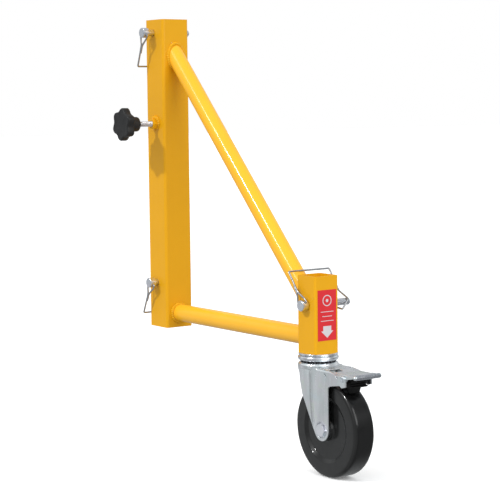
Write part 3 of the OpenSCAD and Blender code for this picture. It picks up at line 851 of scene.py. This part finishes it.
FORK_HALF = 22.5
BEND_R = 5.0
SHELF_Z = -13.3
CREASE = ((-18, 12.0), (-57, 13.0), (-88, 16.8))
GROOVE_DEPTH = 1.05
GROOVE_W = 2.5
LEAN = 0.075
LEAN_START = 1.5
BORE_R = 6.3


def fork_shape(place):
    """Rounds the long bend between the top sheet and the legs: a point beyond the bend's circle
    is drawn back on to it. Then it presses a soft upright crease into each leg, fading at both
    ends: a bell-shaped groove along a line that leans with the leg, and in front of the line the
    sheet leans in steadily towards the wheel. Last, the hole for the kingpin is bored out to its
    radius again."""
    x, y, z = place.T / MM
    x = x - SWIVEL_X / MM
    side = np.sign(y)
    over_y, over_z = np.abs(y) - (FORK_HALF - BEND_R), z - (SHELF_Z - BEND_R)
    reach = np.hypot(over_y, over_z)
    near = (over_y > 0) & (over_z > 0) & (x > 24) & (reach > BEND_R)
    pull = np.where(near, BEND_R / np.maximum(reach, 1e-6), 1)
    y = np.where(near, side * (FORK_HALF - BEND_R + over_y * pull), y)
    z = np.where(near, SHELF_Z - BEND_R + over_z * pull, z)
    heights, lines = np.array(CREASE)[::-1].T
    line = np.interp(z, heights, lines)
    fade = np.clip((z + 92) / 8, 0, 1) * np.clip((-16 - z) / 8, 0, 1)
    leg = (np.abs(y) > 19.5) & (z < -16)
    groove = GROOVE_DEPTH * np.exp(-(((x - line) / GROOVE_W) ** 2)) * fade
    lean = LEAN * np.logaddexp(0, (line - x) / LEAN_START) * LEAN_START * fade
    y = np.where(leg, y - side * (groove + lean), y)
    from_pin = np.maximum(np.hypot(x, y), 1e-6)
    bored = np.where((from_pin < BORE_R) & (z > -14), BORE_R / from_pin, 1)
    x, y = x * bored, y * bored
    return np.stack([x + SWIVEL_X / MM, y, z], -1) * MM


fork = pressed("fork_pressing", "fork", 0.62 * MM, 12, fork_shape)
finished(fork, "swivel", "caster_zinc", caster_zinc, "fork")

# ---------------------------------------------------------------------------------------------
# Axle: an M10 bolt with a chamfered hex head in one dish of the fork and a nut in the other,
# both in bright zinc.
# ---------------------------------------------------------------------------------------------
bolt_low, bolt_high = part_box("axle_bolt")
axle = ((bolt_low.x + bolt_high.x) / 2, 0, (bolt_low.z + bolt_high.z) / 2)
AXLE_R = 5
HEAD_FLATS = 16 * MM
HEAD_H = 4.5 * MM
head_seat = bolt_low.y + HEAD_H
bolt_head = hexagon("axle_bolt_head", axle, head_seat, bolt_low.y, HEAD_FLATS)
finished(bolt_head, "swivel", "fastener_steel", bright_zinc)
bolt_shank = lathe("axle_bolt_shank", "Y", axle, [
    (AXLE_R, head_seat / MM - 0.5), (AXLE_R, bolt_high.y / MM - 1), (AXLE_R - 1, bolt_high.y / MM),
], 64)
finished(bolt_shank, "swivel", "fastener_steel", bright_zinc, "axle_bolt")
axle_nut_low, axle_nut_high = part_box("axle_nut")
axle_nut = hexagon("axle_nut_hex", axle, axle_nut_low.y, axle_nut_high.y, HEAD_FLATS, AXLE_R * MM)
finished(axle_nut, "swivel", "fastener_steel", bright_zinc, "axle_nut")

# ---------------------------------------------------------------------------------------------
# Wheel: one moulding of hard black rubber, 5 in across, with square shoulders, a shallow dish on
# each side and a steel bush pressed into its hub.
# ---------------------------------------------------------------------------------------------
wheel_low, wheel_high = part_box("wheel")
WHEEL_R = (wheel_high.z - wheel_low.z) / 2 / MM
HUB_HALF = wheel_high.y / MM
TREAD_HALF = 16.0


def wheel_side(sign):
    """One side of the wheel's section from the bush to the tread: hub boss, dish floor, the
    dish's sloping wall, the flat side and the round shoulder."""
    half = [
        (10.2, HUB_HALF), *corner((12.8, HUB_HALF - 1.2), 1.2, 90, 0, 5), (14.3, 14.6),
        *corner((16.0, 14.5), 1.6, 180, 262, 5), (18, 12.85), (30, 13.0), (38.4, 13.1),
        *corner((38.6, 14.5), 1.4, 272, 322, 6), *corner((44.6, 14.2), 1.8, 143, 90, 7),
        (47, TREAD_HALF - 0.05), (51, TREAD_HALF), (56.8, TREAD_HALF - 0.1),
        *corner((WHEEL_R - 5.2, TREAD_HALF - 5.2), 5.1, 82, 8, 9), (WHEEL_R - 0.02, 9),
        (WHEEL_R, 3.5),
    ]
    return [(radius, sign * along) for radius, along in half]


def tread_rubber():
    """Black rubber that is greyer on the flat sides and darker on the tread. The mix follows the
    distance from the wheel's axle."""
    made, nodes, links, shader, place = surface("wheel_rubber", 0, 0.4, 0.6, 0.12, 0.16)
    from_axle = nodes.new("ShaderNodeVectorMath")
    from_axle.operation = "SUBTRACT"
    from_axle.inputs[1].default_value = axle
    links.new(place, from_axle.inputs[0])
    flat = nodes.new("ShaderNodeVectorMath")
    flat.operation = "MULTIPLY"
    flat.inputs[1].default_value = (1, 0, 1)
    links.new(from_axle.outputs[0], flat.inputs[0])
    reach = nodes.new("ShaderNodeVectorMath")
    reach.operation = "LENGTH"
    links.new(flat.outputs[0], reach.inputs[0])
    edge = nodes.new("ShaderNodeMapRange")
    edge.inputs["From Min"].default_value = (WHEEL_R - 2.2) * MM
    edge.inputs["From Max"].default_value = (WHEEL_R - 0.4) * MM
    links.new(reach.outputs["Value"], edge.inputs["Value"])
    clouds = noise(nodes, links, place, 70, 5, 0.6)
    mix = nodes.new("ShaderNodeMix")
    mix.data_type = "RGBA"
    links.new(edge.outputs[0], mix.inputs["Factor"])
    for socket, dark, pale in ((6, 0.0085, 0.0125), (7, 0.0025, 0.004)):
        tones = stops(nodes, links, clouds, (0.3, (dark,) * 3), (0.7, (pale,) * 3))
        links.new(tones, mix.inputs[socket])
    links.new(mix.outputs[2], shader.inputs["Base Color"])
    roughened(nodes, links, shader, place, 160, 0.3, 0.46)
    dented(nodes, links, shader, noise(nodes, links, place, 900), 0.00004, 0.4)
    return made


wheel_rubber = tread_rubber()
tyre = lathe("wheel_moulding", "Y", axle, wheel_side(-1) + wheel_side(1)[::-1], 192, 50)
finished(tyre, "caster_wheel", "wheel_rubber", wheel_rubber, "wheel")

# ---------------------------------------------------------------------------------------------
# Pedal pin: a steel rivet through the fork's ears, with a round head on each side, in the same
# bright zinc as the bolt.
# ---------------------------------------------------------------------------------------------
rivet_low, rivet_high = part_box("pedal_pin")
rivet_at = ((rivet_low.x + rivet_high.x) / 2, 0, (rivet_low.z + rivet_high.z) / 2)
RIVET_HEAD_R = (rivet_high.z - rivet_low.z) / 2 / MM
RIVET_HEAD_H = rivet_high.y / MM - FORK_HALF
RIVET_R = 2.5


def dome(sign):
    """One end of the rivet: shank, then a head that rounds over as a quarter of an ellipse."""
    turn = np.radians(np.linspace(0, 88, 9))
    cap = [(RIVET_HEAD_R * np.cos(a), sign * (FORK_HALF + RIVET_HEAD_H * np.sin(a))) for a in turn]
    return [(RIVET_R, sign * (FORK_HALF - 0.02)), *cap]


rivet = lathe("pedal_rivet", "Y", rivet_at, dome(-1)[::-1] + dome(1), 64)
finished(rivet, "swivel", "fastener_steel", bright_zinc, "pedal_pin")

# ---------------------------------------------------------------------------------------------
# Brake pedal: pressed sheet that flares to a rolled lip for the foot, with flanges that hang on
# the rivet, and the black shoe that it presses on the tread.
# ---------------------------------------------------------------------------------------------
LIP = (101, -17.7)
LIP_R = 3.2
pedal_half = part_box("brake_pedal")[1].y / MM


def round_lip(place):
    """Rounds each end of the rolled lip: within its radius of the end, the lip's own radius
    shrinks as the square root of its square less the distance past the start, squared."""
    x, y, z = place.T / MM
    across, rise = x - SWIVEL_X / MM - LIP[0], z - LIP[1]
    reach = np.maximum(np.hypot(across, rise), 1e-6)
    past = np.clip(np.abs(y) - (pedal_half - LIP_R * 0.95), 0, LIP_R * 0.94)
    limit = np.sqrt(LIP_R**2 - past**2)
    scale = np.where((past > 0) & (reach < LIP_R + 0.4), np.minimum(1, limit / reach), 1)
    x = np.where(scale < 1, SWIVEL_X / MM + LIP[0] + across * scale, x)
    z = np.where(scale < 1, LIP[1] + rise * scale, z)
    return np.stack([x, y, z], -1) * MM


pedal = pressed("pedal_pressing", "brake_pedal", 0.5 * MM, 10, round_lip)
finished(pedal, "brake", "caster_zinc", caster_zinc, "brake_pedal")

# The lip is toned darker than the rest of the pedal: painted shade, for the dimmer light that
# falls on its rolled front face.
lip_zinc_painted_shade = zinc("lip_zinc_painted_shade", (0.56, 0.60, 0.64), 0.26)
lip_end = corner((0, pedal_half - 0.02 - LIP_R), LIP_R, 0, 86, 10)
lip_profile = [(r, -y) for r, y in lip_end[::-1]] + lip_end
lip = lathe("pedal_lip", "Y", (SWIVEL_X + LIP[0] * MM, 0, LIP[1] * MM), lip_profile, 48)
finished(lip, "brake", "caster_zinc", lip_zinc_painted_shade)

shoe_black = moulded("shoe_nylon", (0.006, 0.006, 0.006), 0.5, 0.2)
shoe = pressed("brake_shoe_moulding", "brake_shoe", 0.6 * MM, 8)
finished(shoe, "brake", "shoe_plastic", shoe_black, "brake_shoe")
